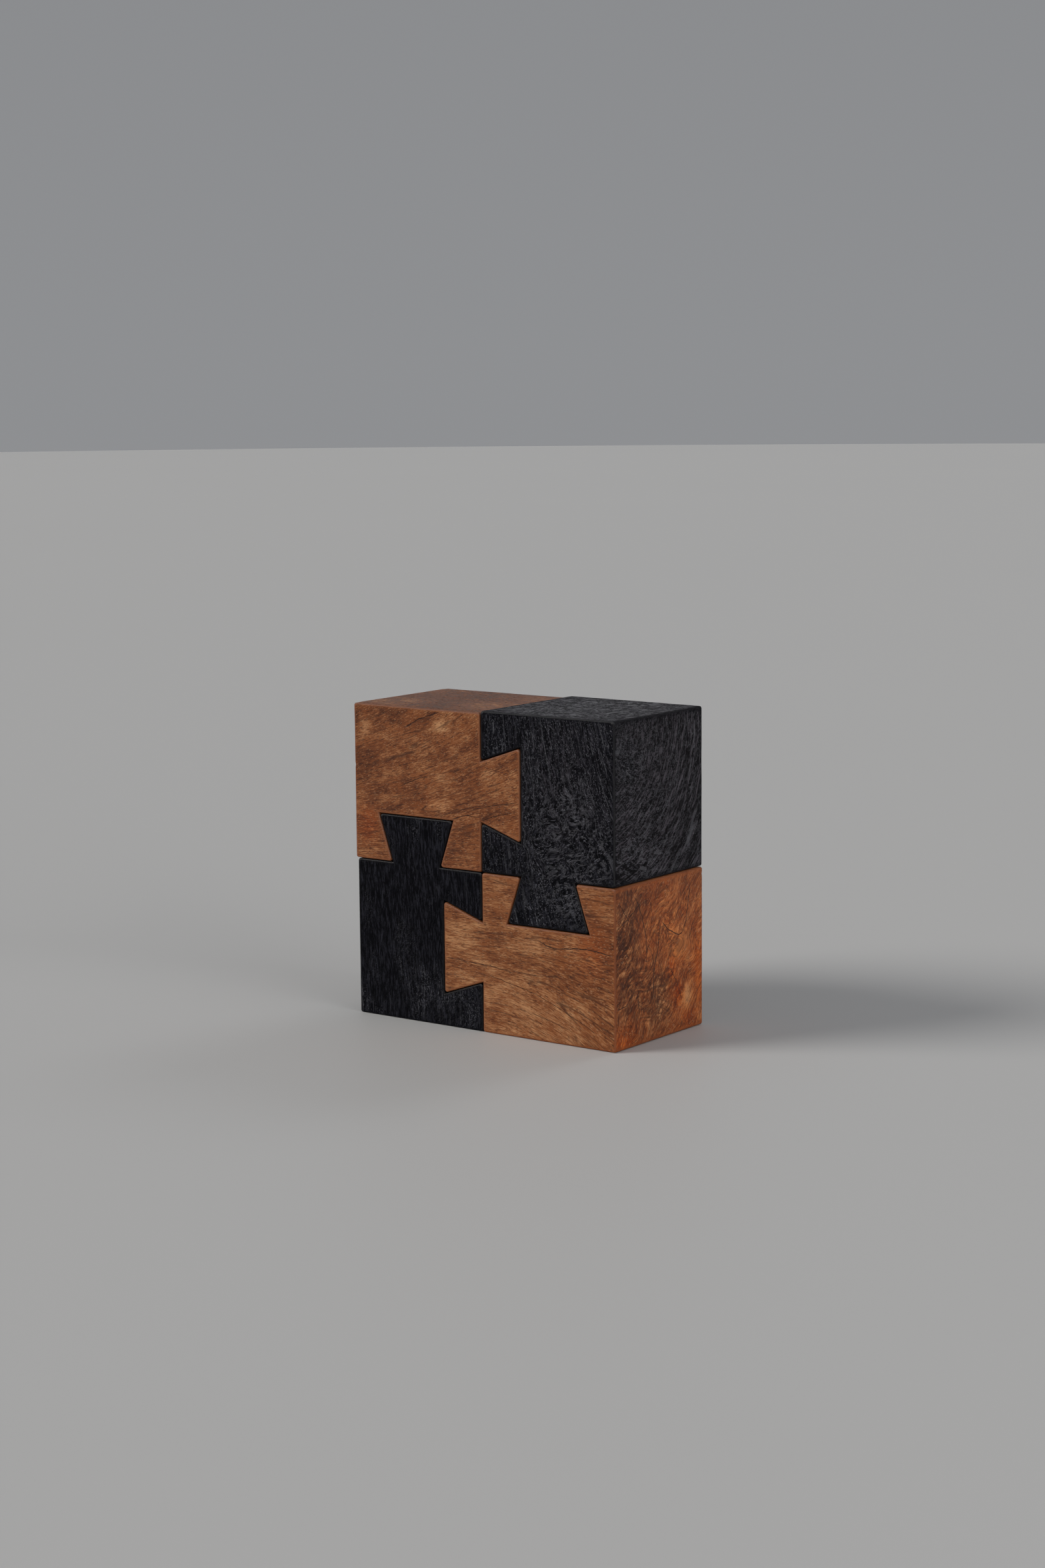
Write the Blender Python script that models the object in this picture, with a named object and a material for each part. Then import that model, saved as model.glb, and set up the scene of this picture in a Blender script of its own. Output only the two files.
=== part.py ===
"""A dovetail block puzzle: two brown and two black blocks of wood that lock into one upright square.

Seen from the front (-Y), each block fills one quarter of the square. It has one dovetail tenon, which points
into the next block clockwise, and one socket, which holds the tenon of the block before it. The four joints
run straight through the depth, so a block only slides along Y, and it is free when it has slid its own depth.

Metres, +Z up. The origin is the middle of the underside. Run it with: blender --background --python part.py
"""

import math
from collections import namedtuple

import bpy
from mathutils import Matrix, Vector

# The assembled square
SIDE = 0.200  # width and height
DEPTH = 0.095  # front to back
BLOCK = SIDE / 2  # side of one block without its tenon
CLEARANCE = 0.0003  # gap between two blocks wherever they face each other

# A dovetail tenon
NECK = 0.0380  # width where it leaves its block
TIP = 0.0585  # width at its far end
REACH = 0.0300  # how far it stands out

# Edges and corners, eased by hand
EDGE_RADIUS = 0.0013  # round the front and back faces
SEAM_RADIUS = 0.0016  # corners of the outline where blocks meet
OUTER_RADIUS = 0.0024  # the four corners of the assembled square
CHISELLED = 0.0  # inner corners of a joint, left sharp
ARC_STEPS = 4  # straight pieces in a rounded corner
EDGE_RESOLUTION = 2  # bevel resolution of a rounded edge

# Linear RGB, then alpha
WOOD_COLOURS = {
    "orange_brown_wood": (0.300, 0.118, 0.046, 1.0),
    "black_wood": (0.014, 0.014, 0.018, 1.0),
}
WOOD_ROUGHNESS = 0.45

# The tenons are cut by hand, so they aren't all alike. extra is how much wider than the others a tenon is, and
# shift is how far it lies from the middle of its side, away from the centre of the square.
Block = namedtuple("Block", "name wood extra shift")
CLOCKWISE_BLOCKS = (
    Block("upper_left_block", "orange_brown_wood", extra=0.0, shift=0.0),
    Block("upper_right_block", "black_wood", extra=0.0026, shift=0.0),
    Block("lower_right_block", "orange_brown_wood", extra=0.0, shift=0.0),
    Block("lower_left_block", "black_wood", extra=0.0, shift=0.0015),
)

# Outlines are drawn for the upper left block, with the centre of the square at (0, 0)
UPPER_LEFT_CENTRE = Vector((-BLOCK / 2, BLOCK / 2))
QUARTER_TURN_CLOCKWISE = -math.pi / 2


def clear_scene():
    for obj in list(bpy.data.objects):
        bpy.data.objects.remove(obj)


def wood_material(name):
    """Smooth, lightly waxed wood of one colour."""
    material = bpy.data.materials.new(name)
    material.use_nodes = True
    material.diffuse_color = WOOD_COLOURS[name]
    shader = material.node_tree.nodes["Principled BSDF"]
    shader.inputs["Base Color"].default_value = WOOD_COLOURS[name]
    shader.inputs["Roughness"].default_value = WOOD_ROUGHNESS
    shader.inputs["Metallic"].default_value = 0.0
    return material


def joint_corners(block):
    """Where a block's dovetail turns, as (distance out from the side, distance along it), from the outer end."""
    middle = BLOCK / 2 + block.shift
    half_neck = (NECK + block.extra) / 2
    half_tip = (TIP + block.extra) / 2
    return [
        (0, middle + half_neck),
        (REACH, middle + half_tip),
        (REACH, middle - half_tip),
        (0, middle - half_neck),
    ]


def block_corners(own, before):
    """The (corner, radius) pairs of a block's outline, clockwise, for a block that lies at the upper left.

    own is the block, whose tenon points right, and before is the block whose tenon comes up from below.
    A tenon's two outer corners are rounded and the two at its neck are sharp. In a socket it is the other way.
    """
    outside = BLOCK + CLEARANCE / 2
    tenon_radii = (CHISELLED, SEAM_RADIUS, SEAM_RADIUS, CHISELLED)
    socket_radii = (SEAM_RADIUS, CHISELLED, CHISELLED, SEAM_RADIUS)
    corners = [((0, outside), SEAM_RADIUS)]
    for (out, along), radius in zip(joint_corners(own), tenon_radii):
        corners.append(((out, along), radius))
    corners.append(((0, 0), SEAM_RADIUS))
    for (out, along), radius in zip(reversed(joint_corners(before)), socket_radii):
        corners.append(((-along, out), radius))
    corners.append(((-outside, 0), SEAM_RADIUS))
    corners.append(((-outside, outside), OUTER_RADIUS))
    return [(Vector(point), radius) for point, radius in corners]


def neighbours(points, index):
    return points[index - 1], points[(index + 1) % len(points)]


def inset(points, distance):
    """A clockwise outline with every side moved inwards by distance."""
    moved = []
    for index, point in enumerate(points):
        before, after = neighbours(points, index)
        arriving = (point - before).normalized()
        leaving = (after - point).normalized()
        arriving_normal = Vector((arriving.y, -arriving.x))
        leaving_normal = Vector((leaving.y, -leaving.x))
        mitre = (arriving_normal + leaving_normal).normalized()
        moved.append(point + mitre * distance / mitre.dot(arriving_normal))
    return moved


def rounded_corner(corner, before, after, radius):
    """Points along the arc of this radius that touches both sides of a corner."""
    back = (before - corner).normalized()
    on = (after - corner).normalized()
    half_angle = back.angle(on) / 2
    centre = corner + (back + on).normalized() * radius / math.sin(half_angle)
    start = (corner + back * radius / math.tan(half_angle) - centre).normalized()
    end = (corner + on * radius / math.tan(half_angle) - centre).normalized()
    return [centre + start.slerp(end, step / ARC_STEPS) * radius for step in range(ARC_STEPS + 1)]


def block_outline(own, before):
    """A block's outline: straight sides, clear of its neighbours, with arcs at the rounded corners."""
    corners = block_corners(own, before)
    points = inset([point for point, _ in corners], CLEARANCE / 2)
    outline = []
    for index, (_, radius) in enumerate(corners):
        if radius == CHISELLED:
            outline.append(points[index])
        else:
            outline += rounded_corner(points[index], *neighbours(points, index), radius)
    return outline


def block_curve(own, before):
    """A filled 2D curve as thick as the square is deep, round its own centre, with rounded front and back edges."""
    curve = bpy.data.curves.new(own.name, "CURVE")
    curve.dimensions = "2D"
    curve.fill_mode = "BOTH"
    curve.extrude = DEPTH / 2 - EDGE_RADIUS
    curve.bevel_depth = EDGE_RADIUS
    curve.bevel_resolution = EDGE_RESOLUTION
    curve.offset = -EDGE_RADIUS
    outline = block_outline(own, before)
    spline = curve.splines.new("POLY")
    spline.points.add(len(outline) - 1)
    for spline_point, point in zip(spline.points, outline):
        spline_point.co = (*(point - UPPER_LEFT_CENTRE), 0, 1)
    spline.use_cyclic_u = True
    return curve


def build():
    clear_scene()
    collection = bpy.data.collections.new("dovetail_block_puzzle")
    bpy.context.scene.collection.children.link(collection)
    woods = {name: wood_material(name) for name in WOOD_COLOURS}

    # The outlines' plane, stood upright through the middle of the depth
    square = bpy.data.objects.new("square_centre", None)
    square.location = (0, 0, SIDE / 2)
    square.rotation_euler.x = math.pi / 2
    collection.objects.link(square)

    for index, own in enumerate(CLOCKWISE_BLOCKS):
        curve = block_curve(own, before=CLOCKWISE_BLOCKS[index - 1])
        curve.materials.append(woods[own.wood])
        obj = bpy.data.objects.new(own.name, curve)
        turn = QUARTER_TURN_CLOCKWISE * index
        obj.location.xy = Matrix.Rotation(turn, 2) @ UPPER_LEFT_CENTRE
        obj.rotation_euler.z = turn
        obj.parent = square
        collection.objects.link(obj)


build()
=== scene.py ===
"""The finished look of the dovetail block puzzle: four hand-eased wooden blocks, two brown and two black.

Each block's outline is read from its CAD solid, and a fine mesh with rounded edges, slightly uneven faces and
its own run of grain takes the solid's place. Metres, +Z up, the front faces -Y.
"""

import functools
import math
from collections import namedtuple

import bmesh
import bpy
import numpy as np
from mathutils import Matrix, Vector, geometry, kdtree, noise


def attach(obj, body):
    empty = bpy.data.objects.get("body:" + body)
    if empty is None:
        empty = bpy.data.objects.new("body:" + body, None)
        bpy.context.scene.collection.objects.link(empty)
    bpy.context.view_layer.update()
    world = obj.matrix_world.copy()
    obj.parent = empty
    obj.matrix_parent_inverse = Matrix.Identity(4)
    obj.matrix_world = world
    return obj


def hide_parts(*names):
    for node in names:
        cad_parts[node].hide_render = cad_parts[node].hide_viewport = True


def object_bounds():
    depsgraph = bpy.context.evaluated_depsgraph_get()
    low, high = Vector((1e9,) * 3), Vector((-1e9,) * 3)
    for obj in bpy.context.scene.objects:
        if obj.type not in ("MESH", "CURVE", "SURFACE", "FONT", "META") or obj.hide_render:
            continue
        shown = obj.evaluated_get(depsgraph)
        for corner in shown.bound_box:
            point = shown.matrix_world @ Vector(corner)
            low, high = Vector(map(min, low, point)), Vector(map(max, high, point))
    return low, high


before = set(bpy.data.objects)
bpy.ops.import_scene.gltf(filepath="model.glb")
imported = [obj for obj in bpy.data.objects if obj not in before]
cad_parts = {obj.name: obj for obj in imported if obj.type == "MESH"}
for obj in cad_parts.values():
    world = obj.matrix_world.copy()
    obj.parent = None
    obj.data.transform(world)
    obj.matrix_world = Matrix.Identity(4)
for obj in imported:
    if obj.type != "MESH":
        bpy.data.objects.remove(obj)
cad_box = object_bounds()

MM = 0.001

# Mesh
SPACING = 0.9 * MM  # between points round an outline and across a face
DEPTH_SPACING = 1.2 * MM  # between points front to back
ARC_SPACING = 0.35 * MM  # between points round a corner of the outline
EDGE_ROWS = 7  # rows of points in the rounding of a front or back edge
RIM_GAP = 0.6 * SPACING  # how near a face's inner points come to its rim
MERGE = 0.001 * MM  # points of a CAD solid this close are one
STRAIGHT = math.cos(math.radians(1))  # edges of a CAD outline that turn less than this are one run
LONGEST_ARC_PIECE = 5 * MM  # a longer straight run of the CAD outline is a side, not part of a corner
SHARP = math.radians(40)

# Rounding
SEAM_CORNER = 1.6 * MM  # corners of the outline that meet a neighbour
OUTER_CORNER = 1.7 * MM  # the corners of the whole square
SEAM_EASING = 1.0 * MM  # front and back edges along a joint
OUTER_EASING = 1.2 * MM  # front and back edges round the whole square
EASING_SPREAD = 0.2  # how much the easing varies along an edge, as a fraction
EASING_WAVE = 16 * MM  # over what length it varies
FLUSH = 1 * MM  # a side this close to the CAD box is on the outside

# How far the faces dip below the CAD solid's, as sanding by hand leaves them
WAVES = ((45 * MM, 0.14 * MM), (13 * MM, 0.05 * MM))  # (length, depth)
SEAM_GROWTH = 0.12 * MM  # inside a joint the faces stand this much above the CAD solids', to keep light out
SEAM_START, SEAM_FULL = 3 * MM, 6 * MM  # how far below the front and back that starts, and is full
NICKS_PER_BLOCK = 9
NICK_SIZE, NICK_SIZES = 0.8 * MM, (0.6, 1.4)  # usual size, and the smallest and largest as multiples of it
NICK_DEPTH, NICK_DEPTHS = 0.35 * MM, (0.3, 1.0)

# A block: the CAD node it replaces, the body it rides on, its wood, how far its front, its outer upright face
# and its top are set back from the CAD box because hand-made blocks never quite line up, and the seed of its
# surface
Block = namedtuple("Block", "node body wood front_step side_step top_step seed")
BLOCKS = (
    Block("upper_left_block", "upper_left", "orange_brown_wood", 0.05 * MM, 0.0, 1.3 * MM, 11),
    Block("upper_right_block", "upper_right", "black_wood", 0.15 * MM, 0.3 * MM, 0.0, 23),
    Block("lower_right_block", "lower_right", "orange_brown_wood", 0.05 * MM, 0.0, 0.0, 37),
    Block("lower_left_block", "lower_left", "black_wood", 0.25 * MM, 1.4 * MM, 0.0, 41),
)

# A mark belongs to a face: "front" lies in (x, z), "side", the outer upright face, in (y, z) and "top" in
# (x, y), all in millimetres. A crack is a line through its points; cracks that touch or cross are on
# different layers. A spot is a soft patch: it is lighter where its tone is above 0 and darker below, its
# tint is how much richer the colour gets, or more purple below 0, and its figure is how burled the wood is.
Crack = namedtuple("Crack", "face layer width points")
CRACK_LAYERS = (0, 1)
CRACK_TAPER = 3 * MM  # over what length a crack thins out at its ends
CRACK_FADE, CRACK_END = 3 * MM, 1.5  # a crack's line is known to 1.5 mm from it, and fades out by 4.5 mm
CRACK_WOBBLE = 1.6 * MM
CRACKS = {
    "upper_left_block": (
        Crack("front", 0, 0.36, ((-59, 185.5), (-47, 192), (-31, 197))),
        Crack("front", 1, 0.25, ((-8, 138), (8, 142), (28, 145.5))),
        Crack("front", 0, 0.25, ((-3, 131), (12, 136), (28, 140))),
        Crack("front", 1, 0.25, ((-23, 131), (-12, 134.5), (0, 134))),
        Crack("front", 0, 0.25, ((-62, 149), (-48, 155), (-40, 156))),
    ),
    "lower_right_block": (
        Crack("front", 0, 0.4, ((42, 62.5), (51.4, 59.3), (55.7, 58.6), (71, 60.7), (84, 60.5), (98.5, 59))),
        Crack("front", 1, 0.22, ((3, 37), (20, 33.5), (41, 29), (64, 20), (86, 10))),
        Crack("front", 1, 0.22, ((-28, 44), (-12, 43), (6, 42.5), (24, 40))),
        Crack("side", 0, 0.43, ((-26.1, 92), (-20.2, 81.4), (-16.4, 71.4), (-14.5, 63), (-14.2, 51.4))),
        Crack("side", 1, 0.43, ((1.8, 73), (8.3, 67), (20.2, 61.4), (23.8, 61.7), (28.5, 68),
                                (30.3, 77), (33, 90))),
        Crack("side", 0, 0.43, ((0, 70.7), (-1.8, 57), (-5.3, 47), (-6.5, 43), (-7.1, 25.7))),
        Crack("side", 0, 0.36, ((-42.8, 90), (-32, 77))),
        Crack("side", 1, 0.32, ((-46, 74.5), (-33, 80), (-19, 88.6))),
        Crack("side", 0, 0.32, ((-45, 50), (-32, 60.7))),
        Crack("side", 1, 0.29, ((-40.4, 58.6), (-29.7, 68.6))),
        Crack("side", 0, 0.32, ((-46.5, 25.7), (-35.6, 27), (-27.3, 34.3))),
        Crack("side", 0, 0.32, ((-10.7, 88.6), (-8.3, 78.6))),
        Crack("side", 0, 0.36, ((-23.8, 35.7), (-22, 18.6))),
        Crack("side", 1, 0.29, ((-13.7, 62.9), (-9, 55), (-5.9, 46.4))),
        Crack("side", 1, 0.29, ((11, 42), (18, 33), (24, 20))),
    ),
}
Spot = namedtuple("Spot", "face centre size tone tint figure")
SPOTS = {
    "upper_left_block": (
        Spot("front", (-50, 150), (90, 90), -0.07, 0.1, 0.1),
        Spot("front", (-91, 186), (4.5, 5.5), 0.36, 0.0, 0.0),
        Spot("front", (-31, 188), (7, 4), 0.32, 0.0, 0.0),
        Spot("front", (-20, 173), (4, 6), 0.32, 0.0, 0.0),
        Spot("front", (6, 161), (8, 4), 0.36, 0.0, 0.0),
        Spot("front", (-36, 140), (11, 3.5), 0.28, 0.2, 0.0),
        Spot("front", (-29, 157), (8, 4.5), 0.3, 0.0, 0.0),
        Spot("front", (-90, 122), (9, 12), 0.0, 0.7, 0.0),
        Spot("front", (-94, 160), (9, 9), -0.12, 0.0, 0.0),
        # Across the whole top: a little darker and more purple, painted reflection of the grey surroundings
        # that the top shows at a glancing view; its figure is real burl
        Spot("top", (-50, 0), (90, 90), -0.1, -0.6, 0.8),
        Spot("top", (-78, -20), (16, 22), 0.25, 0.2, 0.0),
        Spot("top", (-52, 22), (12, 20), -0.25, 0.0, 0.4),
        Spot("top", (-22, -18), (14, 18), 0.3, 0.2, 0.0),
        Spot("top", (-14, 30), (12, 14), 0.2, 0.0, 0.0),
        Spot("top", (-44, -36), (14, 10), -0.25, 0.0, 0.3),
    ),
    "upper_right_block": (
        Spot("front", (64, 128), (26, 34), -0.3, 0.0, 0.95),
        Spot("front", (70, 88), (24, 14), 0.0, 0.0, 0.7),
        Spot("front", (90, 118), (10, 16), 0.0, 0.0, 0.7),
        Spot("front", (18, 182), (16, 12), -0.1, 0.0, 0.0),
        Spot("front", (60, 160), (50, 50), 0.15, 0.3, 0.0),
        Spot("side", (-25, 115), (26, 16), 0.0, 0.5, 0.9),
        Spot("side", (-32, 172), (14, 16), -0.15, -0.4, 0.9),
        Spot("side", (0, 150), (90, 90), -0.05, 0.8, 0.4),
        # Across the whole top: lighter, with more pale flecks and specks, painted reflection and glints of
        # the surroundings seen at a glancing view; its tone also gives the top real wax gloss
        Spot("top", (50, 0), (90, 90), 0.9, 1.0, 1.1),
    ),
    "lower_right_block": (
        Spot("side", (0, 50), (90, 90), 0.05, 0.9, 0.15),
        Spot("side", (-34, 60), (17, 45), -0.14, -0.45, 0.9),
        Spot("side", (-2, 28), (18, 20), -0.06, -0.6, 0.8),
        Spot("side", (10, 68), (18, 20), 0.16, 0.5, 0.4),
        Spot("side", (12, 40), (5, 9), 0.0, 1.0, 0.0),
        Spot("side", (20, 24), (6, 10), -0.02, 1.5, 0.0),
        Spot("side", (29, 9), (8, 6), 0.0, 1.2, 0.0),
        Spot("side", (30, 22), (5, 8), 0.7, -0.4, 0.0),
        Spot("side", (43, 34), (7, 34), 0.15, 1.2, 0.1),
        Spot("side", (-40, 4), (12, 8), 0.1, 1.5, 0.0),
        Spot("side", (24, 48), (13, 10), 0.3, 0.5, 0.2),
        Spot("front", (25, 14), (60, 18), 0.16, -0.1, 0.0),
        Spot("front", (30, 60), (60, 60), 0.08, 0.0, 0.0),
        Spot("front", (-18, 52), (14, 22), 0.1, 0.0, 0.0),
        Spot("front", (84, 60), (18, 20), -0.04, 0.5, 0.0),
        Spot("front", (55.4, 56.6), (0.7, 0.7), 0.8, -0.5, 0.0),
    ),
    "lower_left_block": (
        Spot("front", (-50, 70), (90, 90), -0.55, 0.0, 0.0),
        Spot("front", (-60, 50), (8, 12), 0.3, 0.0, 0.3),
        # Lighter near the foot of the front: painted reflection, standing in for the brighter satin sheen
        # there
        Spot("front", (-30, 18), (30, 16), 0.4, 0.0, 0.2),
    ),
}


# ---- Outlines ----


def section_loop(node):
    """The CAD solid's section at mid depth, as (x, z) points in order round it."""
    section = bmesh.new()
    section.from_mesh(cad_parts[node].data)
    bmesh.ops.remove_doubles(section, verts=section.verts, dist=MERGE)
    everything = section.verts[:] + section.edges[:] + section.faces[:]
    bmesh.ops.bisect_plane(
        section, geom=everything, plane_co=(0, 0, 0), plane_no=(0, 1, 0), clear_inner=True, clear_outer=True
    )
    start = section.verts[:][0]
    loop, edge = [start], start.link_edges[0]
    while edge.other_vert(loop[-1]) is not start:
        loop.append(edge.other_vert(loop[-1]))
        edge = next(e for e in loop[-1].link_edges if e is not edge)
    points = np.array([(v.co.x, v.co.z) for v in loop])
    section.free()
    return points


def anticlockwise(points):
    """An outline's points, turned round if they ran clockwise."""
    x, z = points.T
    area = np.sum(x * np.roll(z, -1) - z * np.roll(x, -1)) / 2
    return points if area > 0 else points[::-1]


def straight_sides(points):
    """The long straight runs of an outline, in order, as (a point on it, its unit direction)."""
    steps = np.roll(points, -1, axis=0) - points
    lengths = np.linalg.norm(steps, axis=1)
    directions = steps / lengths[:, None]
    turns = np.einsum("ij,ij->i", directions, np.roll(directions, 1, axis=0)) < STRAIGHT
    first = int(np.flatnonzero(turns)[0])
    runs = []
    for i in (np.arange(len(points)) + first) % len(points):
        if turns[i]:
            runs.append([points[i], directions[i], 0.0])
        runs[-1][2] += lengths[i]
    return [(point, direction) for point, direction, length in runs if length > LONGEST_ARC_PIECE]


def crossing(side, other):
    """Where two sides' lines meet."""
    (p, d), (q, e) = side, other
    along = np.linalg.solve(np.column_stack([d, -e]), q - p)[0]
    return p + d * along


def sharp_corners(block):
    """A block's corners, anticlockwise, as if none were rounded, with its outer faces set back."""
    sides = straight_sides(anticlockwise(section_loop(block.node)))
    corners = np.array([crossing(sides[i - 1], sides[i]) for i in range(len(sides))])
    low, high = cad_box
    corners[:, 0] = np.clip(corners[:, 0], low[0] + block.side_step, high[0] - block.side_step)
    corners[:, 1] = np.minimum(corners[:, 1], high[2] - block.top_step)
    return corners


Side = namedtuple("Side", "direction normal mating")
OutlinePoint = namedtuple("OutlinePoint", "at normal mating corner")


def cross_2d(a, b):
    """Positive where b points to the left of a."""
    return a[0] * b[1] - a[1] * b[0]


def side_between(start, end):
    """A side of an outline. mating is 1 against a neighbour and 0 on the outside of the whole square."""
    direction = (end - start) / np.linalg.norm(end - start)
    low, high = cad_box
    outside = False
    for axis, limits in ((0, (low[0], high[0])), (1, (low[2], high[2]))):
        for limit in limits:
            outside |= max(abs(start[axis] - limit), abs(end[axis] - limit)) < FLUSH
    return Side(direction, np.array([direction[1], -direction[0]]), 0.0 if outside else 1.0)


def corner_points(corner, arriving, leaving):
    """The outline's points at a corner: an arc if it sticks out, and one point if it is a sharp inner corner.

    An inner corner's normal is mitred, so that a move along it keeps the same distance from both sides.
    """
    turn = math.atan2(cross_2d(arriving.direction, leaving.direction), arriving.direction @ leaving.direction)
    if turn < 0:
        mitre = arriving.normal + leaving.normal
        return [OutlinePoint(corner, mitre / (mitre @ arriving.normal), 1.0, False)]
    radius = SEAM_CORNER if arriving.mating or leaving.mating else OUTER_CORNER
    centre = corner - arriving.direction * radius * math.tan(turn / 2) - arriving.normal * radius
    steps = max(4, math.ceil(radius * turn / ARC_SPACING))
    arc = []
    for step in range(steps + 1):
        spoke = np.array(Matrix.Rotation(turn * step / steps, 2)) @ arriving.normal
        mating = arriving.mating + (leaving.mating - arriving.mating) * step / steps
        arc.append(OutlinePoint(centre + spoke * radius, spoke, mating, True))
    return arc


def straight_points(start, end, side):
    """Points between two corners' nearest points, without those two."""
    pieces = max(1, round(np.linalg.norm(end - start) / SPACING))
    steps = [piece / pieces for piece in range(1, pieces)]
    return [OutlinePoint(start + (end - start) * step, side.normal, side.mating, False) for step in steps]


def fine_outline(block):
    """A block's outline as closely spaced points, anticlockwise."""
    corners = sharp_corners(block)
    sides = [side_between(corner, corners[(i + 1) % len(corners)]) for i, corner in enumerate(corners)]
    turns = [corner_points(corner, sides[i - 1], sides[i]) for i, corner in enumerate(corners)]
    outline = []
    for i, turn in enumerate(turns):
        outline += turn
        outline += straight_points(turn[-1].at, turns[(i + 1) % len(turns)][0].at, sides[i])
    return outline


# ---- Meshes ----


def waves(points, length, seed):
    """Smooth noise from 0 to 1, with bumps about this far apart."""
    offset = Vector((seed * 1.7, seed * 3.1, seed * 5.3))
    return np.array([0.5 + 0.5 * noise.noise(Vector(point) / length + offset) for point in points]).clip(0, 1)


def eased_shell(block, outline):
    """(points, normals) of a block's sides, as arrays of rows from front to back round its outline.

    The first and last rows lie in the front and back faces. The rows next to them round the edges.
    """
    low, high = cad_box
    at = np.array([point.at for point in outline])
    across = np.array([point.normal for point in outline])
    mating = np.array([point.mating for point in outline])
    usual = OUTER_EASING + (SEAM_EASING - OUTER_EASING) * mating
    rows, row_normals = [], []

    def add_row(inset, depth, tilt, facing):
        """A row moved inwards from the outline, whose normals lean by tilt from the side towards facing."""
        moved = at - across * inset[:, None]
        unit = across / np.linalg.norm(across, axis=1)[:, None]
        rows.append(np.column_stack([moved[:, 0], depth, moved[:, 1]]))
        lean = np.full(len(at), facing * math.cos(tilt))
        row_normals.append(np.column_stack([unit[:, 0] * math.sin(tilt), lean, unit[:, 1] * math.sin(tilt)]))

    def eased_edge(face_depth, facing, seed):
        """The rounding's (inset, depth, tilt) for each of its rows, from the face to the side."""
        along_edge = np.column_stack([at[:, 0], np.full(len(at), face_depth), at[:, 1]])
        radius = usual * (1 + EASING_SPREAD * (2 * waves(along_edge, EASING_WAVE, seed) - 1))
        tilts = [math.pi / 2 * row / (EDGE_ROWS - 1) for row in range(EDGE_ROWS)]
        insets = [radius * (1 - math.sin(tilt)) for tilt in tilts]
        depths = [face_depth - facing * radius * (1 - math.cos(tilt)) for tilt in tilts]
        return list(zip(insets, depths, tilts))

    front = eased_edge(low[1] + block.front_step, -1, block.seed)
    back = eased_edge(high[1], 1, block.seed + 1)
    for inset, depth, tilt in front:
        add_row(inset, depth, tilt, -1)
    front_end, back_start = front[-1][1], back[-1][1]
    pieces = round((high[1] - low[1]) / DEPTH_SPACING)
    for piece in range(1, pieces):
        depth = front_end + (back_start - front_end) * piece / pieces
        add_row(np.zeros(len(at)), depth, math.pi / 2, 0)
    for inset, depth, tilt in reversed(back):
        add_row(inset, depth, tilt, 1)
    return np.array(rows), np.array(row_normals)


def inside(points, polygon):
    """Which points lie inside a polygon."""
    found = np.zeros(len(points), bool)
    x, z = points.T
    for (x1, z1), (x2, z2) in zip(polygon, np.roll(polygon, -1, axis=0)):
        if z1 != z2:
            found ^= ((z1 > z) != (z2 > z)) & (x < (x2 - x1) * (z - z1) / (z2 - z1) + x1)
    return found


def filled_face(rim):
    """(inner points, triangles) that fill a rim of (x, z) points. Triangles count the rim's points first."""
    low, high = rim.min(axis=0), rim.max(axis=0)
    row_height = SPACING * math.sqrt(3) / 2
    grid = []
    for row, z in enumerate(np.arange(low[1] + row_height, high[1], row_height)):
        xs = np.arange(low[0] + SPACING * (0.5 + 0.5 * (row % 2)), high[0], SPACING)
        grid.append(np.column_stack([xs, np.full(len(xs), z)]))
    grid = np.concatenate(grid)
    grid = grid[inside(grid, rim)]
    tree = kdtree.KDTree(len(rim))
    for i, (x, z) in enumerate(rim):
        tree.insert((x, z, 0), i)
    tree.balance()
    inner = np.array([point for point in grid if tree.find((*point, 0))[2] > RIM_GAP])
    points = [Vector(point) for point in np.concatenate([rim, inner])]
    count = len(rim)
    made = geometry.delaunay_2d_cdt(points, [], [list(range(count))], 1, 1e-9)
    triangles, origins = made[2], made[3]
    first = [origin[0] for origin in origins]
    return inner, [[first[i] for i in triangle] for triangle in triangles]


def nearest_edge(rows, outline, points):
    """(each point's distance to the nearest eased edge or corner of its block, points along those edges)."""
    middle = EDGE_ROWS // 2
    corners = [i for i, point in enumerate(outline) if point.corner]
    edges = np.concatenate([rows[middle], rows[-1 - middle], rows[:, corners].reshape(-1, 3)])
    tree = kdtree.KDTree(len(edges))
    for i, point in enumerate(edges):
        tree.insert(point, i)
    tree.balance()
    return np.array([tree.find(point)[2] for point in points]), edges


def dips(block, points, edges):
    """How far each point lies below the ideal surface: gentle waves from sanding, and nicks on the edges."""
    depth = np.zeros(len(points))
    for step, (length, height) in enumerate(WAVES):
        depth += height * waves(points, length, block.seed + 7 * step)
    chance = np.random.default_rng(block.seed)
    for nick in edges[chance.integers(len(edges), size=NICKS_PER_BLOCK)]:
        size = NICK_SIZE * chance.uniform(*NICK_SIZES)
        distance = np.linalg.norm(points - nick, axis=1)
        depth += NICK_DEPTH * chance.uniform(*NICK_DEPTHS) * np.exp(-((distance / size) ** 2))
    return depth


def finished(points, normals, mating, dip):
    """The points moved off the ideal surface, down by their dips, or outwards inside a joint."""
    low, high = cad_box
    depth = np.minimum(points[:, 1] - low[1], high[1] - points[:, 1])
    inner = mating * np.clip((depth - SEAM_START) / (SEAM_FULL - SEAM_START), 0, 1)
    return points + normals * (inner * SEAM_GROWTH - (1 - inner) * dip)[:, None]


FACE_AXES = {"front": (0, 2), "side": (1, 2), "top": (0, 1)}
# A surface turned away from a face, by more than about 70 degrees, isn't on it
FACING_STEEPNESS, FACING_START = 2, 0.6


def on_face(face, points, normals):
    """The points as a face sees them, and how squarely each one lies on that face, from 0 to 1."""
    first, second = FACE_AXES[face]
    outwards = np.sign(points[:, 0]) * normals[:, 0]
    facing = {"front": -normals[:, 1], "side": outwards, "top": normals[:, 2]}[face]
    return points[:, [first, second]], np.clip(FACING_STEEPNESS * facing - FACING_START, 0, 1)


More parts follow.
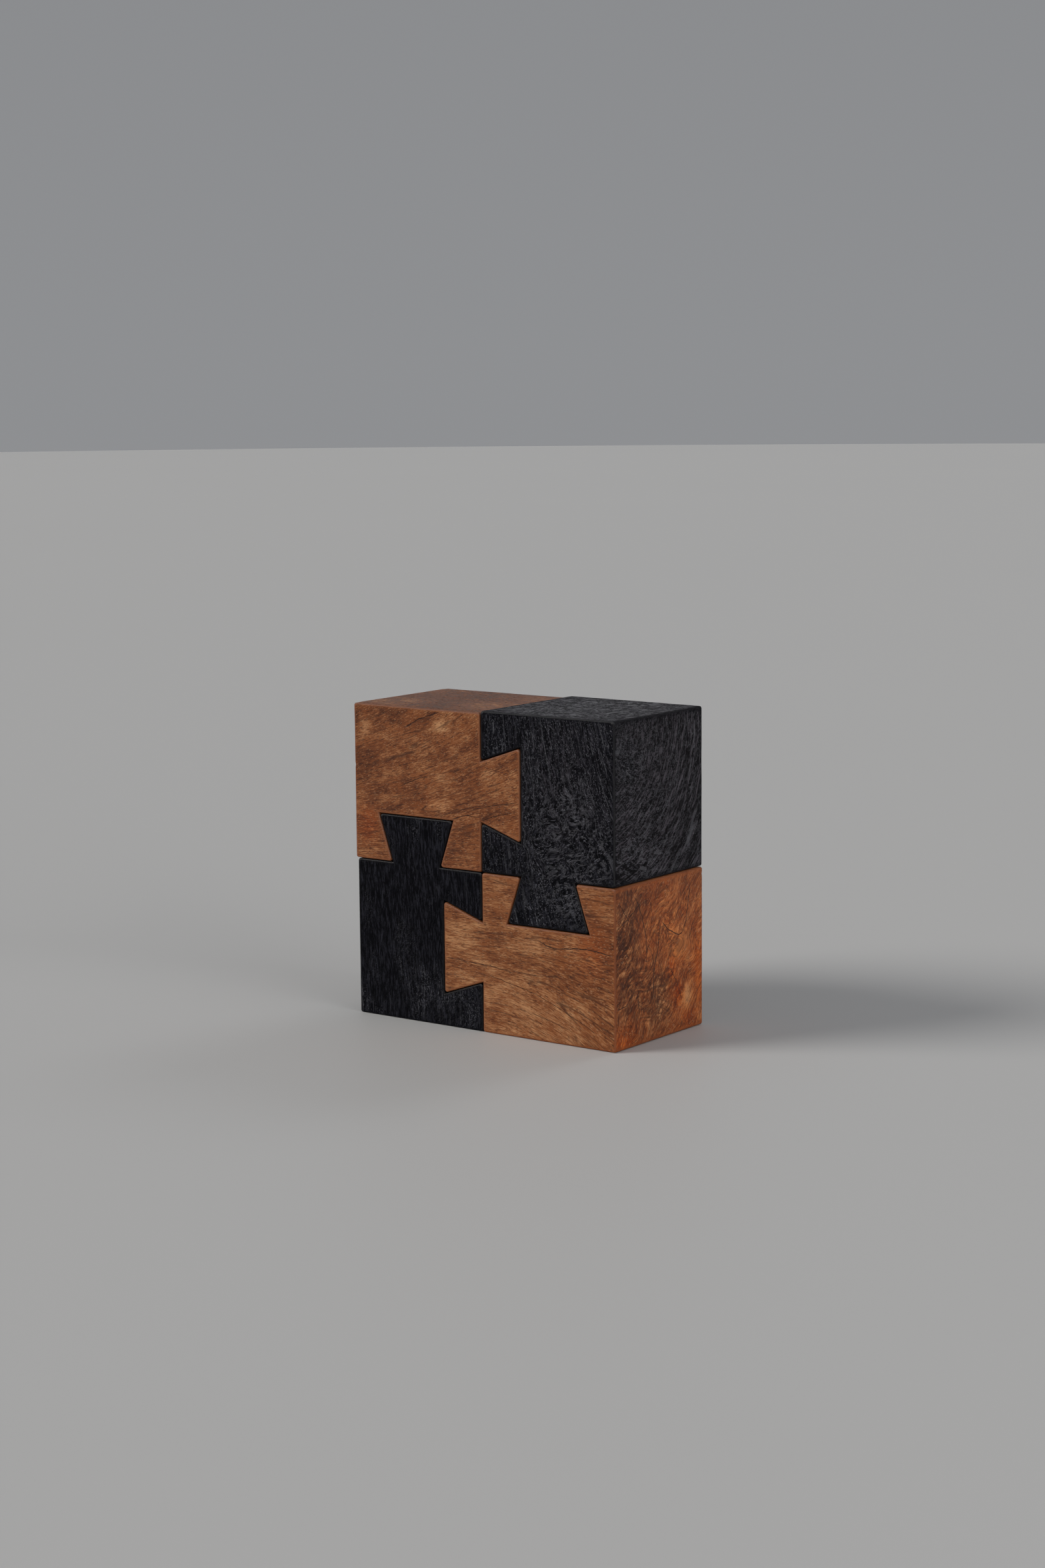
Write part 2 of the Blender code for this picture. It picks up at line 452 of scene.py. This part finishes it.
def crack_offsets(crack, flat):
    """(signed distance from the crack's line, distance along it from its nearer end) for each flat point."""
    corners = np.array(crack.points) * MM
    lengths = np.linalg.norm(np.diff(corners, axis=0), axis=1)
    offset, position = np.full(len(flat), np.inf), np.zeros(len(flat))
    for i, length in enumerate(lengths):
        run = (corners[i + 1] - corners[i]) / length
        along = np.clip((flat - corners[i]) @ run, 0, length)
        gap = flat - corners[i] - along[:, None] * run
        distance = np.hypot(*gap.T)
        nearer = distance < np.abs(offset)
        signed = np.where(run[0] * gap[:, 1] > run[1] * gap[:, 0], distance, -distance)
        offset = np.where(nearer, signed, offset)
        position = np.where(nearer, lengths[:i].sum() + along, position)
    return offset, np.minimum(position, lengths.sum() - position)


def crack_layer(block, points, normals, layer):
    """(offset from the nearest crack, how present it is from 0 to 1, its width) for each point."""
    found = np.tile([1.0, 0.0, 1.0], (len(points), 1))
    for crack in CRACKS.get(block.node, ()):
        if crack.layer != layer:
            continue
        flat, facing = on_face(crack.face, points, normals)
        offset, inwards = crack_offsets(crack, flat)
        tapered = np.clip(inwards / CRACK_TAPER, 0, 1)
        presence = tapered * np.clip(CRACK_END - np.abs(offset) / CRACK_FADE, 0, 1)
        here = (facing > 0) & (np.abs(offset) < np.abs(found[:, 0]))
        made = np.column_stack([offset, presence * facing, np.full(len(points), crack.width * MM)])
        found[here] = made[here]
    return found


def spots_of(block, points, normals):
    """(tone, tint, figure) added by the block's spots at each point."""
    found = np.zeros((len(points), 3))
    for spot in SPOTS.get(block.node, ()):
        flat, facing = on_face(spot.face, points, normals)
        away = (flat / MM - spot.centre) / spot.size
        strength = np.exp(-(away**2).sum(axis=1)) * facing
        found += strength[:, None] * [spot.tone, spot.tint, spot.figure]
    return found


def add_attribute(mesh, name, kind, values):
    layer = mesh.attributes.new(name, kind, "POINT")
    field = "vector" if kind == "FLOAT_VECTOR" else "value"
    layer.data.foreach_set(field, np.asarray(values, np.float32).ravel())


def wooden_block(block):
    """A block's finished mesh, with the attributes that its wood is drawn from."""
    outline = fine_outline(block)
    rows, row_normals = eased_shell(block, outline)
    count = len(outline)
    points, normals, faces = [rows.reshape(-1, 3)], [row_normals.reshape(-1, 3)], []
    for row in range(len(rows) - 1):
        for i in range(count):
            on = (i + 1) % count
            corners = (row, i), (row + 1, i), (row + 1, on), (row, on)
            faces.append([r * count + c for r, c in corners])
    made = rows.size // 3
    for row, facing in ((0, -1), (len(rows) - 1, 1)):
        rim = rows[row]
        inner, triangles = filled_face(rim[:, [0, 2]])
        depth = np.full(len(inner), rim[0, 1])
        points.append(np.column_stack([inner[:, 0], depth, inner[:, 1]]))
        normals.append(np.tile([0.0, facing, 0.0], (len(inner), 1)))
        for triangle in triangles:
            indices = [row * count + i if i < count else made + i - count for i in triangle]
            faces.append(indices if facing < 0 else indices[::-1])
        made += len(inner)
    points, normals = np.concatenate(points), np.concatenate(normals)
    mating = np.zeros(len(points))
    mating[: rows.size // 3] = np.tile([point.mating for point in outline], len(rows))
    to_edge, edges = nearest_edge(rows, outline, points)
    grain = grain_of(block, points, normals)
    placed = finished(points, normals, mating, dips(block, points, edges))

    mesh = bpy.data.meshes.new(block.node.replace("_block", "_wood"))
    mesh.from_pydata(placed.tolist(), [], faces)
    add_attribute(mesh, "grain", "FLOAT_VECTOR", grain)
    add_attribute(mesh, "to_edge", "FLOAT", to_edge)
    add_attribute(mesh, "mating", "FLOAT", mating)
    add_attribute(mesh, "spots", "FLOAT_VECTOR", spots_of(block, points, normals))
    for layer in CRACK_LAYERS:
        add_attribute(mesh, f"cracks_{layer}", "FLOAT_VECTOR", crack_layer(block, points, normals, layer))
    mesh.shade_smooth()
    mesh.set_sharp_from_angle(angle=SHARP)
    piece = bpy.data.objects.new(mesh.name, mesh)
    bpy.context.scene.collection.objects.link(piece)
    return piece


# ---- Run of the grain ----
# On each face the grain has two coordinates in metres: one across the lines, which is the same all along a
# line, and one along them. A third, through the wood, keeps opposite faces from looking alike. A coordinate
# that is made smaller draws its face's marks larger.

FINENESS = 0.87  # of all the grain
FACE_BLEND = 4  # the higher, the more sharply the grain changes from face to face round an edge
RIPPLE_LENGTH, RIPPLE = 22 * MM, 1.2 * MM  # how lines waver
BURL_LENGTH = 9 * MM
SLOPE, STEEPENING, STEEPER_FROM = 0.12, 3.6, 105 * MM  # of the upper left block's lines
BEND = 3.6  # per metre: how sharply the lowest lines of the lower right block's grain bend down
# Lines that start above the first are level, and below the second bend fully
BEND_TOP, BEND_FULL = 75 * MM, 33 * MM
BISECTIONS = 24
BURL_TURN = 0.64, 0.77  # sine and cosine of the turn of the lines on the lower right block's outer side
BURL_SIZE, BURL_DEPTH = 15 * MM, 11 * MM  # of the waves in them
FAN = 3.4  # how much the upper right block's lines spread downwards
RINGS_CENTRE, RINGS_RADIUS = (-62 * MM, 195 * MM), 75 * MM  # on the upper right block's outer side


def swirl(first, second, centre, radius):
    """Grain in rings round a centre, as (across, along)."""
    off_first, off_second = first - centre[0], second - centre[1]
    return np.hypot(off_first, off_second), np.arctan2(off_second, off_first) * radius


def upper_left_grain(x, y, z):
    """Rises to the right, steeper towards the top. Short marks on the upright sides, which cut across it."""
    slope = SLOPE + STEEPENING * np.maximum(0, z - STEEPER_FROM)
    front = (z - slope * (x + 50 * MM), x + slope * z)
    return {"front": front, "side": (z, 3 * y), "top": (0.45 * y + 0.06 * x, x)}


def lower_right_grain(x, y, z):
    """Level at the top, and bends down to the right near the base. Its outer side is burled."""

    def drop(start):
        """How far below its start, at the middle of the puzzle, a line of the grain has come."""
        return BEND * np.clip((BEND_TOP - start) / (BEND_TOP - BEND_FULL), 0, 1) ** 2 * np.maximum(0, x) ** 2

    low, high = z, z + BEND * x**2
    for _ in range(BISECTIONS):
        start = (low + high) / 2
        too_low = start - drop(start) < z
        low, high = np.where(too_low, start, low), np.where(too_low, high, start)
    points = np.column_stack([x, y, z])
    sine, cosine = BURL_TURN
    across = sine * z - cosine * y + BURL_DEPTH * waves(points, BURL_SIZE, 71)
    along = cosine * z + sine * y + BURL_DEPTH * waves(points, BURL_SIZE, 72)
    side = (0.75 * across, 1.1 * along)
    return {"front": (low, x), "side": side, "top": (y, x)}


def lower_left_grain(x, y, z):
    """Upright, with a slight lean."""
    return {"front": (x + 0.05 * z, z), "side": (y, z), "top": (x, 2 * y)}


def upper_right_grain(x, y, z):
    """Upright at the left, and fans out to the lower right. Rings on the outer side, large marks on top."""
    fan = FAN * np.clip(x, 0, 100 * MM) * (200 * MM - z)
    across, along = swirl(y, z, RINGS_CENTRE, RINGS_RADIUS)
    side = (1.05 * across + 2 * MM * waves(np.column_stack([x, y, z]), 12 * MM, 73), 0.9 * along)
    return {"front": (x - fan, z), "side": side, "top": (0.55 * y + 0.2 * x, 0.95 * x)}


GRAINS = {
    "upper_left_block": upper_left_grain,
    "lower_right_block": lower_right_grain,
    "lower_left_block": lower_left_grain,
    "upper_right_block": upper_right_grain,
}
# A burl: centre in x and z, radius, and how far it pushes the lines about
BURLS = {"upper_right_block": ((58 * MM, 128 * MM), 26 * MM, 5 * MM)}


def grain_of(block, points, normals):
    """Grain coordinates (across, along, through) for each point."""
    x, y, z = points.T
    through = {"front": y, "side": x, "top": z}
    weights = dict(zip(("side", "front", "top"), (normals**FACE_BLEND).T))
    total = sum(weights.values())
    grain = np.zeros((len(points), 3))
    for face, (across, along) in GRAINS[block.node](x, y, z).items():
        coordinates = FINENESS * np.column_stack([across, along, through[face]])
        grain += coordinates * (weights[face] / total)[:, None]
    ripple = RIPPLE * (waves(points, RIPPLE_LENGTH, block.seed + 50) - 0.5)
    if block.node in BURLS:
        centre, radius, strength = BURLS[block.node]
        near = np.exp(-(((x - centre[0]) ** 2 + (z - centre[1]) ** 2) / radius**2))
        ripple = ripple + 2 * strength * near * (waves(points, BURL_LENGTH, block.seed + 60) - 0.5)
    grain[:, 0] += ripple
    return grain


# ---- Woods ----


class Graph:
    """A material whose shader is put together from short calls. Values may be numbers, colours or sockets."""

    def __init__(self, name):
        self.material = bpy.data.materials.new(name)
        self.material.use_nodes = True
        self.tree = self.material.node_tree
        self.shader = self.tree.nodes["Principled BSDF"]

    def connect(self, socket, value):
        if isinstance(value, bpy.types.NodeSocket):
            self.tree.links.new(value, socket)
        else:
            socket.default_value = value

    def node(self, kind, inputs=(), **settings):
        made = self.tree.nodes.new(kind)
        for name, value in settings.items():
            setattr(made, name, value)
        for key, value in dict(inputs).items():
            self.connect(made.inputs[key], value)
        return made

    def math(self, operation, a, b=0.0):
        return self.node("ShaderNodeMath", {0: a, 1: b}, operation=operation).outputs[0]

    def plus(self, *values):
        return functools.reduce(lambda a, b: self.math("ADD", a, b), values)

    def minus(self, a, b):
        return self.math("SUBTRACT", a, b)

    def times(self, *values):
        return functools.reduce(lambda a, b: self.math("MULTIPLY", a, b), values)

    def larger(self, a, b):
        return self.math("MAXIMUM", a, b)

    def band(self, value, start, end):
        """0 where value is at start, 1 where it is at end, and a smooth step between."""
        inputs = {"Value": value, "From Min": start, "From Max": end}
        return self.node("ShaderNodeMapRange", inputs, interpolation_type="SMOOTHSTEP").outputs["Result"]

    def spread(self, value, gain):
        """A value around 0.5 with its differences multiplied."""
        inputs = {0: value, 1: gain, 2: 0.5 - 0.5 * gain}
        return self.node("ShaderNodeMath", inputs, operation="MULTIPLY_ADD").outputs[0]

    def line_where(self, value, level, width):
        """Thin lines where a smooth value passes through level."""
        return self.band(self.math("ABSOLUTE", self.minus(value, level)), width, 0.0)

    def parts(self, vector):
        """A vector's three components."""
        return self.node("ShaderNodeSeparateXYZ", {0: vector}).outputs

    def noise(self, vector, detail=2.0, roughness=0.5, distortion=0.0):
        inputs = {
            "Vector": vector,
            "Scale": 1.0,
            "Detail": detail,
            "Roughness": roughness,
            "Distortion": distortion,
        }
        return self.node("ShaderNodeTexNoise", inputs).outputs["Fac"]

    def mix(self, factor, a, b, blend="MIX"):
        mixer = self.node("ShaderNodeMix", data_type="RGBA", blend_type=blend)
        self.connect(mixer.inputs[0], factor)
        self.connect(mixer.inputs[6], (*a, 1.0) if isinstance(a, tuple) else a)
        self.connect(mixer.inputs[7], (*b, 1.0) if isinstance(b, tuple) else b)
        return mixer.outputs[2]

    def ramp(self, value, stops):
        """A colour ramp with (position, colour) stops."""
        made = self.node("ShaderNodeValToRGB", {"Fac": value})
        elements = made.color_ramp.elements
        while len(elements) < len(stops):
            elements.new(1.0)
        for element, (position, colour) in zip(elements, stops):
            element.position = position
            element.color = (*colour, 1.0)
        return made.outputs["Color"]

    def painted(self, colour, layers, paints):
        """A colour with each layer painted over it in turn, in its own paint."""
        for name, layer in layers.items():
            strength, paint = paints[name]
            colour = self.mix(self.times(layer, strength), colour, paint)
        return colour

    def bump(self, height, strength, distance, normal=None):
        inputs = {"Height": height, "Strength": strength, "Distance": distance}
        if normal is not None:
            inputs["Normal"] = normal
        return self.node("ShaderNodeBump", inputs).outputs["Normal"]


class WoodGraph(Graph):
    """A wood's material. Its patterns lie along the grain. Their sizes across, along and through it are in
    millimetres, and each has a number, its own, that sets it apart from the others."""

    def __init__(self, name, seed):
        super().__init__(name)
        self.seed = seed
        self.grain = self.attribute("grain", "Vector")
        self.to_edge = self.attribute("to_edge", "Fac")
        self.mating = self.attribute("mating", "Fac")
        self.spot_tone, self.spot_tint, self.figure = self.parts(self.attribute("spots", "Vector"))

    def attribute(self, name, output):
        return self.node("ShaderNodeAttribute", attribute_name=name).outputs[output]

    def turned(self, degrees):
        """The grain turned within its face."""
        inputs = {"Vector": self.grain, "Angle": math.radians(degrees)}
        return self.node("ShaderNodeVectorRotate", inputs, rotation_type="Z_AXIS").outputs[0]

    def scaled(self, grain, size, number):
        """The grain measured in units of size."""
        shift = self.seed + number
        inverse = [1 / (length * MM) for length in size]
        inputs = {0: grain, 1: inverse, 2: (shift, shift * 1.3, shift * 1.7)}
        return self.node("ShaderNodeVectorMath", inputs, operation="MULTIPLY_ADD").outputs[0]

    def pattern(self, size, number, grain=None, **kind):
        """Soft noise, from 0 to 1."""
        return self.noise(self.scaled(self.grain if grain is None else grain, size, number), **kind)

    def dashes(self, width, length, number, fullness, grain=None):
        """Strokes scattered along the grain: 1 in one and 0 outside. fullness, 0 to 1, makes them fatter."""
        cells = self.scaled(self.grain if grain is None else grain, (width, length, width), number)
        voronoi = self.node("ShaderNodeTexVoronoi", {"Vector": cells, "Scale": 1.0})
        chance = self.node("ShaderNodeSeparateColor", {0: voronoi.outputs["Color"]}).outputs[0]
        radius = self.times(chance, fullness)
        relative = self.math("DIVIDE", voronoi.outputs["Distance"], self.larger(radius, 0.001))
        return self.band(relative, 1.0, 0.55)

    def cracks(self, wobble):
        """1 on a crack and 0 off it. wobble is noise that makes the lines uneven."""
        found = 0.0
        for layer in CRACK_LAYERS:
            offset, presence, width = self.parts(self.attribute(f"cracks_{layer}", "Vector"))
            uneven = self.plus(offset, self.times(self.minus(wobble, 0.5), CRACK_WOBBLE))
            line = self.band(self.math("DIVIDE", self.math("ABSOLUTE", uneven), width), 1.0, 0.3)
            found = self.larger(self.times(line, presence), found)
        return found

    def burnished(self):
        """1 on front and back edges that face up, less on upright ones, and 0 on the rest."""
        normal = self.parts(self.node("ShaderNodeTexCoord").outputs["Normal"])
        eased = self.band(self.math("ABSOLUTE", normal["Y"]), 0.15, 0.45)
        upwards = self.band(normal["Z"], -0.25, 0.3)
        return self.times(self.band(self.to_edge, *BURNISHED), self.times(eased, upwards))

    def finish(self, colour, roughness, specular, wax, wax_roughness, normal):
        """Feeds the shader. wax is the weight of a glossy coat."""
        values = {
            "Base Color": colour,
            "Roughness": roughness,
            "Specular IOR Level": specular,
            "Coat Weight": wax,
            "Coat Roughness": wax_roughness,
            "Normal": normal,
            "Coat Normal": normal,
        }
        for name, value in values.items():
            self.connect(self.shader.inputs[name], value)
        return self.material


BROWN_TONES = (
    (0.04, (0.048, 0.014, 0.005)),
    (0.36, (0.180, 0.051, 0.015)),
    (0.58, (0.300, 0.106, 0.036)),
    (0.95, (0.580, 0.290, 0.130)),
)
BROWN_PATCHES, BROWN_MOTTLE, BROWN_FIBRE, BROWN_CONTRAST = 0.28, 0.20, 0.52, 2.9  # what makes up its tone
BURL_CONTRAST = 1.8  # how much more mottled a burled spot is
# (spot's tint where it starts, spot's tint where it is full, what it multiplies the colour by)
BROWN_TINTS = (
    (0.0, 1.0, (1.22, 0.86, 0.58)),
    (1.0, 2.2, (1.15, 0.84, 0.42)),
    # More purple where a spot's tint is below 0: the wood's own colour on the lower right block's side,
    # painted reflection across the upper left block's top
    (0.0, -1.0, (0.80, 0.66, 0.75)),
)
HATCHING = (-31, 6, 62)  # degrees from the grain
# How far from an edge handling starts to polish the wood, and polishes it fully
BURNISHED = (0.9 * MM, 0.2 * MM)

# Paints: (how much of it shows where its layer is full, colour)
BROWN_PAINTS = {
    "reddish": (0.5, (0.27, 0.078, 0.020)),
    "flecks": (0.5, (0.50, 0.27, 0.14)),
    "pores": (0.62, (0.050, 0.015, 0.006)),
    "lines": (0.75, (0.055, 0.016, 0.007)),
    "veins": (0.65, (0.044, 0.014, 0.008)),
    "cracks": (0.95, (0.022, 0.008, 0.005)),
    "handled_edge": (0.5, (0.30, 0.074, 0.016)),
    "bare_joint": (0.25, (0.30, 0.14, 0.07)),
}
BLACK_GROUND, BLACK_STREAK = (0.0012, 0.0012, 0.0024), (0.021, 0.021, 0.028)
BLACK_PAINTS = {
    "patches": (0.2, (0.012, 0.012, 0.016)),
    "deep": (0.7, (0.0014, 0.0010, 0.0016)),
    "swept": (0.8, (0.100, 0.088, 0.102)),
    "pale_blotches": (0.7, (0.060, 0.058, 0.068)),
    "dark_blotches": (0.9, (0.0008, 0.0008, 0.0014)),
    "long_lines": (0.7, (0.090, 0.090, 0.100)),
    "flecks": (0.9, (0.105, 0.104, 0.120)),
    "specks": (0.75, (0.180, 0.180, 0.200)),
    "pits": (0.9, (0.0012, 0.0012, 0.0016)),
    "purplish": (0.06, (0.026, 0.014, 0.017)),
    "bare_joint": (0.3, (0.020, 0.018, 0.018)),
    # On the black wood this darkening along eased edges and joints is painted shade; on the brown wood it is
    # the richer colour of handled edges
    "handled_edge": (0.6, (0.003, 0.003, 0.005)),
}


def brown_tone(g, mottle, fibre):
    """How light the wood is before its marks, from 0 to 1."""
    patches = g.times(g.pattern((9, 24, 20), 0), BROWN_PATCHES)
    tone = g.plus(patches, g.times(mottle, BROWN_MOTTLE), g.times(fibre, BROWN_FIBRE))
    burl = g.times(g.minus(mottle, 0.5), g.times(g.figure, BURL_CONTRAST))
    return g.plus(g.spread(tone, BROWN_CONTRAST), g.spot_tone, burl)


def growth_lines(g):
    """Long dark lines along the grain, broken up, where it isn't burled, and finer ones everywhere."""
    rings = g.line_where(g.pattern((6, 130, 40), 4, detail=0), 0.5, 0.02)
    lines = g.times(rings, g.band(g.pattern((2, 12, 9), 6), 0.40, 0.58), g.band(g.figure, 0.5, 0.1))
    fine_rings = g.line_where(g.pattern((2.6, 60, 30), 14, detail=0), 0.5, 0.055)
    fine_lines = g.times(fine_rings, g.band(g.pattern((1.5, 8, 6), 16), 0.44, 0.55), 0.8)
    return g.larger(lines, fine_lines)


def burl_veins(g):
    """Dark winding veins and crossed hatching, where the wood is burled."""
    veins = g.line_where(g.pattern((7, 16, 9), 8, detail=2, roughness=0.6, distortion=0.6), 0.5, 0.04)
    for angle in HATCHING:
        hatching = g.line_where(g.pattern((1.7, 30, 20), angle, g.turned(angle), detail=0), 0.5, 0.08)
        scattered = g.band(g.pattern((5, 9, 6), -angle, detail=1), 0.42, 0.54)
        veins = g.larger(veins, g.times(hatching, scattered))
    return g.times(veins, g.math("MINIMUM", g.times(g.figure, 1.6), 1.0))


def brown_wood(name, seed):
    """Waxed orange-brown hardwood: mottled along the grain, with short pores, pale flecks and dark lines.

    Handled edges are richer in colour, and the joints' faces, which never saw wax, are paler.
    """
    g = WoodGraph(name, seed)
    mottle = g.pattern((2.0, 5.5, 4), 3, detail=3, roughness=0.7)
    fibre = g.pattern((0.42, 5, 0.6), 5, detail=3, roughness=0.75)
    pores = g.dashes(0.5, 2.6, 2, 0.52)
    cracks = g.cracks(mottle)

    colour = g.ramp(brown_tone(g, mottle, fibre), BROWN_TONES)
    redness = g.band(g.pattern((9, 16, 12), 9, detail=1), 0.5, 0.75)
    colour = g.painted(colour, {"reddish": redness}, BROWN_PAINTS)
    for start, full, tint in BROWN_TINTS:
        colour = g.mix(g.band(g.spot_tint, start, full), colour, tint, "MULTIPLY")
    marks = {
        "flecks": g.dashes(0.6, 2.0, 1, 0.5),
        "pores": pores,
        "lines": growth_lines(g),
        "veins": burl_veins(g),
        "cracks": cracks,
        "handled_edge": g.band(g.to_edge, 1.5 * MM, 0.5 * MM),
        "bare_joint": g.mating,
    }
    colour = g.painted(colour, marks, BROWN_PAINTS)

    roughness = g.plus(0.40, g.times(g.minus(mottle, 0.5), 0.3), g.times(pores, 0.25))
    fine = g.bump(g.minus(g.minus(fibre, pores), g.times(cracks, 3.0)), 0.6, 0.22 * MM)
    normal = g.bump(mottle, 0.3, 0.4 * MM, fine)
    return g.finish(colour, roughness, specular=0.2, wax=g.burnished(), wax_roughness=0.28, normal=normal)


def black_wood(name, seed):
    """Waxed black hardwood: pale flecks and streaks along the grain, small dark pits, and blotches of burl.

    A spot's tint brings out its purplish strokes. Its eased edges are darkened with painted shade.
    """
    g = WoodGraph(name, seed)
    # A spot's tone lightens the patches, and the flecks, lines and specks that follow them; across the upper
    # right block's top and near the foot of the lower left block's front this is painted reflection
    patches = g.plus(g.spread(g.pattern((9, 22, 16), 0, detail=2, roughness=0.55), 1.6), g.spot_tone)
    fine_streaks = g.pattern((0.6, 5, 0.8), 3, detail=3, roughness=0.7)
    strokes = g.pattern((1.0, 8, 2), 13, detail=3, roughness=0.7, distortion=0.4)
    streaks = g.times(g.plus(fine_streaks, strokes), 0.5)
    crosswise = g.turned(52)
    blotches = g.pattern((1.7, 4.2, 2), 4, crosswise, detail=3, roughness=0.6, distortion=0.8)
    pale_blotches = g.times(g.band(blotches, 0.50, 0.64), g.figure)
    dark_blotches = g.times(g.band(blotches, 0.47, 0.36), g.figure)
    flecks = g.times(g.dashes(0.5, 2.4, 1, 0.46), g.band(patches, 0.1, 0.8))
    cross_flecks = g.times(g.dashes(0.6, 1.9, 7, 0.55, crosswise), g.math("MINIMUM", g.figure, 1.0), 0.9)
    pits = g.dashes(0.8, 2.2, 2, 0.42)
    long_lines = g.line_where(g.pattern((3.2, 90, 30), 5, detail=0), 0.5, 0.035)
    tinted = g.band(g.spot_tint, 0.0, 0.7)

    colour = g.mix(g.band(streaks, 0.46, 0.62), BLACK_GROUND, BLACK_STREAK)
    marks = {
        "patches": g.band(patches, 0.2, 0.9),
        "deep": tinted,
        "swept": g.times(g.band(strokes, 0.50, 0.62), tinted),
        "pale_blotches": pale_blotches,
        "dark_blotches": dark_blotches,
        "long_lines": g.times(
            long_lines, g.band(g.pattern((2, 9, 9), 6), 0.42, 0.58), g.band(patches, 0.0, 0.6)
        ),
        "flecks": g.larger(flecks, cross_flecks),
        "specks": g.times(g.dashes(0.42, 1.0, 21, 0.42), g.band(patches, 0.0, 0.7)),
        "pits": pits,
        "purplish": g.band(g.spot_tint, 0.0, 1.0),
        "bare_joint": g.mating,
        # Painted shade: the eased edges and joints darkened on either side of their highlight
        "handled_edge": g.band(g.to_edge, 2.0 * MM, 0.4 * MM),
    }
    colour = g.painted(colour, marks, BLACK_PAINTS)

    roughness = g.plus(0.36, g.times(g.band(patches, 0.2, 0.8), 0.12), g.times(pits, 0.3))
    relief = g.minus(g.plus(streaks, g.times(flecks, 0.4), pale_blotches), g.times(pits, 1.2))
    sheen = g.times(g.band(g.spot_tone, 0.5, 0.9), g.plus(pale_blotches, cross_flecks))
    shine = g.plus(g.times(g.larger(flecks, pale_blotches), 0.5), g.times(sheen, 1.6))
    shine = g.times(shine, g.minus(1.0, g.larger(pits, dark_blotches)))
    wax = g.math("MINIMUM", g.plus(shine, g.burnished()), 1.0)
    normal = g.bump(relief, 0.7, 0.3 * MM)
    return g.finish(colour, roughness, specular=0.04, wax=wax, wax_roughness=0.36, normal=normal)


WOODS = {"orange_brown_wood": brown_wood, "black_wood": black_wood}


# ---- Stage, light and camera ----

FLOOR_RADIUS, FLOOR_SIDES, FLOOR_ROUGHNESS = 12.0, 96, 0.55
FLOOR_COLOUR = (0.64, 0.635, 0.625)
SPECKLE, SPECKLE_COLOUR = 0.06, (0.5, 0.5, 0.5)  # how much of it shows
HORIZON, ZENITH = (0.27, 0.275, 0.285), (0.17, 0.175, 0.185)

# (name, azimuth and elevation, how wide it looks, all in degrees, strength, colour) of each soft light
LIGHTS = (
    ("key_light", -44, 33, 26, 1.6, (1.0, 0.98, 0.95)),
    ("fill_light", 80, 12, 42, 1.05, (1.0, 0.99, 0.98)),
    ("back_light", 172, 40, 20, 0.25, (0.93, 0.96, 1.0)),
)

# The camera, looking past the puzzle's base with the puzzle in the lower half of the frame
AZIMUTH, ELEVATION, ROLL = 36.74, 8.31, -0.48  # degrees
DISTANCE = 1.844
ASIDE, ABOVE = -0.0039, 0.1476  # where it looks, off the origin, across and up the frame
LENS = 67.07  # mm on a 36 mm frame


def towards(azimuth, elevation):
    """The unit direction from the origin towards a place, 0 azimuth being in front of the puzzle."""
    a, e = math.radians(azimuth), math.radians(elevation)
    return Vector((math.sin(a) * math.cos(e), -math.cos(a) * math.cos(e), math.sin(e)))


def add_stage():
    """A plain pale floor."""
    bpy.ops.mesh.primitive_circle_add(vertices=FLOOR_SIDES, radius=FLOOR_RADIUS, fill_type="NGON")
    floor = bpy.context.object
    floor.name = "floor"
    g = Graph("pale_floor")
    speckle = g.noise(g.node("ShaderNodeTexCoord").outputs["Object"], detail=3)
    g.connect(g.shader.inputs["Base Color"], g.mix(g.times(speckle, SPECKLE), FLOOR_COLOUR, SPECKLE_COLOUR))
    g.connect(g.shader.inputs["Roughness"], FLOOR_ROUGHNESS)
    floor.data.materials.append(g.material)


def add_world():
    """A plain grey surround, a little darker overhead."""
    world = bpy.data.worlds.new("studio")
    bpy.context.scene.world = world
    world.use_nodes = True
    nodes, links = world.node_tree.nodes, world.node_tree.links
    height = nodes.new("ShaderNodeSeparateXYZ")
    ramp = nodes.new("ShaderNodeValToRGB")
    ramp.color_ramp.elements[0].color = (*HORIZON, 1.0)
    ramp.color_ramp.elements[1].color = (*ZENITH, 1.0)
    links.new(nodes.new("ShaderNodeTexCoord").outputs["Generated"], height.inputs[0])
    links.new(height.outputs["Z"], ramp.inputs["Fac"])
    links.new(ramp.outputs["Color"], nodes["Background"].inputs["Color"])


def add_lights():
    for name, azimuth, elevation, width, strength, colour in LIGHTS:
        light = bpy.data.lights.new(name, "SUN")
        light.angle, light.energy, light.color = math.radians(width), strength, colour
        lamp = bpy.data.objects.new(name, light)
        lamp.location = towards(azimuth, elevation)
        lamp.rotation_euler = towards(azimuth, elevation).to_track_quat("Z", "Y").to_euler()
        bpy.context.scene.collection.objects.link(lamp)


def add_camera():
    data = bpy.data.cameras.new("camera")
    data.lens = LENS
    camera = bpy.data.objects.new("camera", data)
    around = Matrix.Rotation(math.radians(AZIMUTH), 4, "Z")
    tilt = Matrix.Rotation(math.radians(90 - ELEVATION), 4, "X")
    roll = Matrix.Rotation(math.radians(ROLL), 4, "Z")
    camera.matrix_world = around @ tilt @ roll @ Matrix.Translation((ASIDE, ABOVE, DISTANCE))
    bpy.context.scene.collection.objects.link(camera)
    bpy.context.scene.camera = camera


def main():
    bpy.context.scene.view_settings.view_transform = "Standard"
    add_camera()
    add_stage()
    add_world()
    add_lights()
    for block in BLOCKS:
        piece = wooden_block(block)
        piece.data.materials.append(WOODS[block.wood](piece.name, block.seed))
        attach(piece, block.body)
        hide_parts(block.node)


main()
